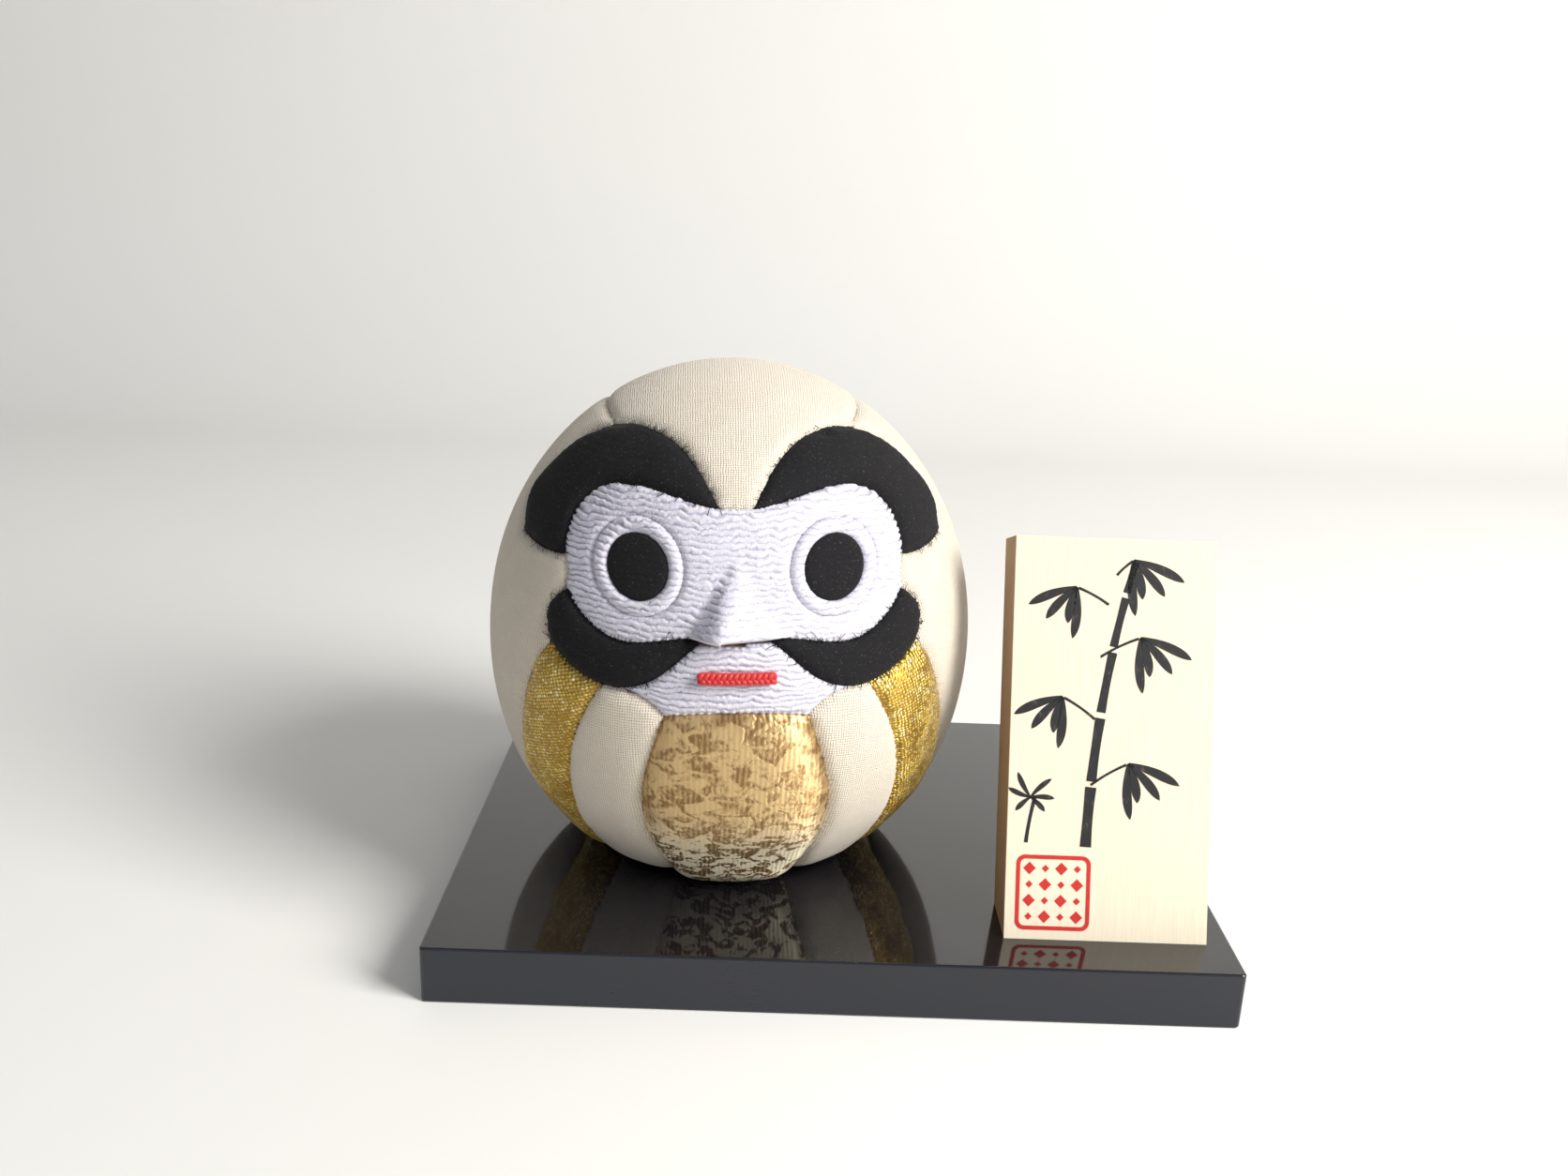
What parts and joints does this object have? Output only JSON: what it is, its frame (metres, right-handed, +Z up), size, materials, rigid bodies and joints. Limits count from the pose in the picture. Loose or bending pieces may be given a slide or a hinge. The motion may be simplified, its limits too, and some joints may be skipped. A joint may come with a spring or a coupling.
{
  "type": "daruma doll",
  "caption": "Round padded fabric daruma doll with big brows and moustache, resting on a lacquered display board beside a leaning wooden plaque.",
  "frame": {"origin": "middle of the display board's underside", "axes": "+Z up, -Y the way the doll faces, +X towards the plaque"},
  "size_m": [0.12, 0.09, 0.0881],
  "materials": {
    "silk_cream": "plain-weave raw silk, matt with a soft sheen",
    "crepe_white": "crinkled silk crepe with wavy ridges",
    "crepe_black": "matt black silk with faint glints",
    "lame_gold": "metallic gold knit with sparkle",
    "brocade_gold": "gold brocade with a mottled woven pattern",
    "cord_red": "glossy braided rayon cord",
    "core_wood": "moulded wood-powder composition, unpainted",
    "foot_paper": "handmade paper",
    "lacquer_black": "high-gloss black lacquer, satin edges",
    "plaque_board": "fine fibre board, sanded edge",
    "plaque_sheet": "cream wood-tone paper, matt"
  },
  "bodies": {
    "board": {"display_board": "lacquer_black"},
    "doll": {"crown_panel": "silk_cream", "side_panel_left": "silk_cream", "side_panel_right": "silk_cream", "lobe_left": "silk_cream", "lobe_right": "silk_cream", "mask_panel": "crepe_white", "mouth_panel": "crepe_white", "eye_ring_left": "crepe_white", "eye_ring_right": "crepe_white", "brow_left": "crepe_black", "brow_right": "crepe_black", "moustache_left": "crepe_black", "moustache_right": "crepe_black", "pupil_left": "crepe_black", "pupil_right": "crepe_black", "gold_band_left": "lame_gold", "gold_band_right": "lame_gold", "belly_panel": "brocade_gold", "mouth_cord": "cord_red", "core": "core_wood", "foot_cover": "foot_paper"},
    "plaque": {"plaque_block": "plaque_board", "plaque_prop": "plaque_board", "plaque_face": "plaque_sheet"}
  },
  "joints": [
    {"name": "doll_lift", "type": "slide", "parent": "board", "child": "doll", "axis": [0, 0, 1], "range_m": [0, 0.1]},
    {"name": "plaque_lift", "type": "slide", "parent": "board", "child": "plaque", "axis": [0, 0, 1], "range_m": [0, 0.08]}
  ]
}
